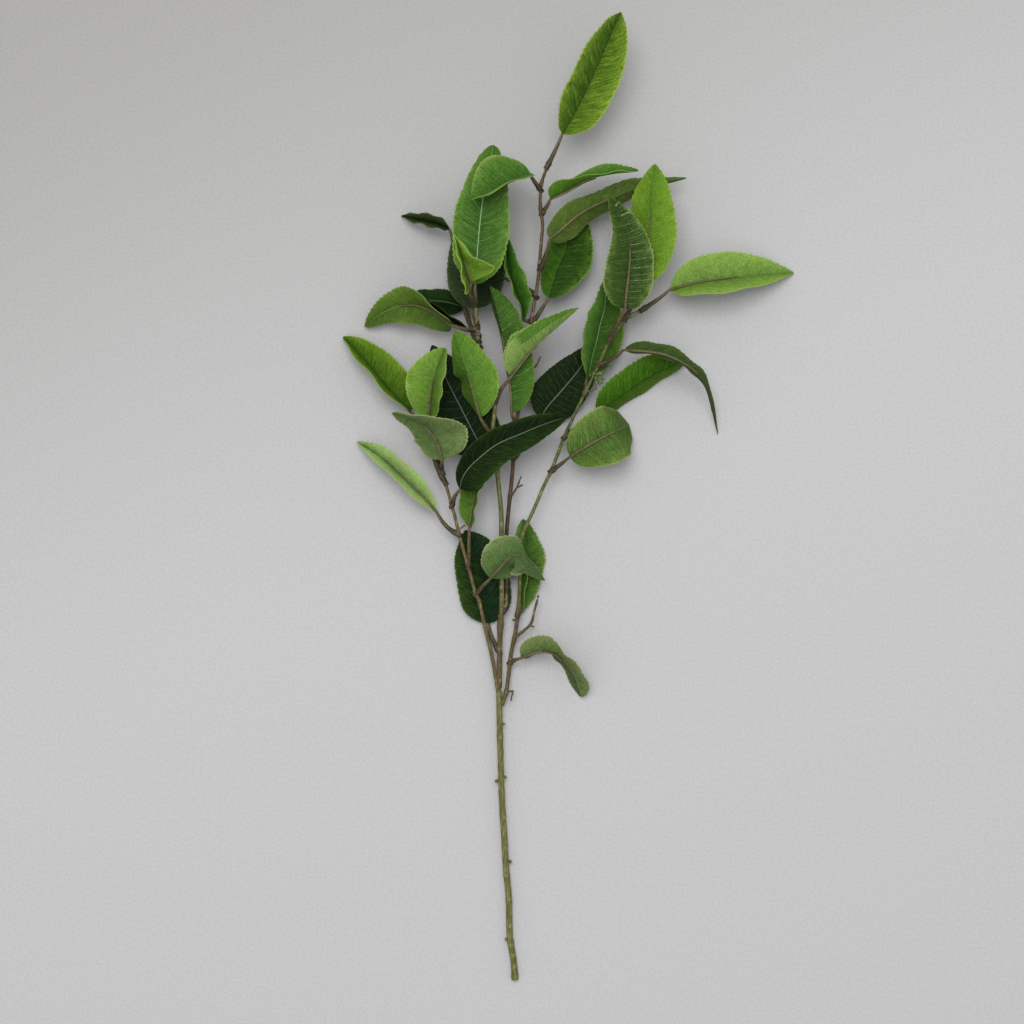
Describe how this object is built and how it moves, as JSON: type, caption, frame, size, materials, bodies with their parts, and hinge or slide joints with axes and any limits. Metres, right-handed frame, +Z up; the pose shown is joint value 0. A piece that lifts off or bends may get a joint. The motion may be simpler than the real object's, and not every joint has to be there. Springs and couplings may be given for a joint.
{
  "type": "osmanthus branch",
  "caption": "Leafy osmanthus branch lying flat: a bare olive stem forks into slender shoots with toothed, pointed oval leaves.",
  "frame": {"origin": "on the surface that the branch lies on, under the middle of its box", "axes": "+Y from the cut end of the stem towards the top leaf, +X to the right as seen from above, +Z up"},
  "size_m": [0.451, 0.956, 0.1191],
  "materials": {
    "leaf": "printed cloth leaf, matt, with pale veins and a frayed edge",
    "olive_stem": "moulded olive bark",
    "tan_stem": "moulded tan bark",
    "brown_stem": "moulded brown bark"
  },
  "bodies": {
    "root": {"leaf_arch": "leaf", "leaf_behind_sickle": "leaf", "leaf_big_light": "leaf", "leaf_big_top": "leaf", "leaf_bright_center": "leaf", "leaf_center_long": "leaf", "leaf_corner": "leaf", "leaf_curl_left": "leaf", "leaf_dark_behind": "leaf", "leaf_dark_edge": "leaf", "leaf_dark_left": "leaf", "leaf_dark_lower": "leaf", "leaf_dark_right": "leaf", "leaf_dark_small": "leaf", "leaf_dark_top": "leaf", "leaf_diagonal": "leaf", "leaf_droop": "leaf", "leaf_droop_low": "leaf", "leaf_far_left": "leaf", "leaf_far_thin": "leaf", "leaf_left_low": "leaf", "leaf_left_mid": "leaf", "leaf_left_round": "leaf", "leaf_lower_right": "leaf", "leaf_narrow": "leaf", "leaf_pale_left": "leaf", "leaf_pale_mid": "leaf", "leaf_right_bright": "leaf", "leaf_right_low": "leaf", "leaf_round_right": "leaf", "leaf_sickle": "leaf", "leaf_top": "leaf", "leaf_twist_right": "leaf", "leaf_twist_top": "leaf", "leaf_veined": "leaf", "leaf_yellow_back": "leaf", "main_stem": "olive_stem", "shoot_left": "tan_stem", "shoot_middle": "brown_stem", "shoot_right": "tan_stem", "shoot_top": "brown_stem"}
  },
  "joints": []
}
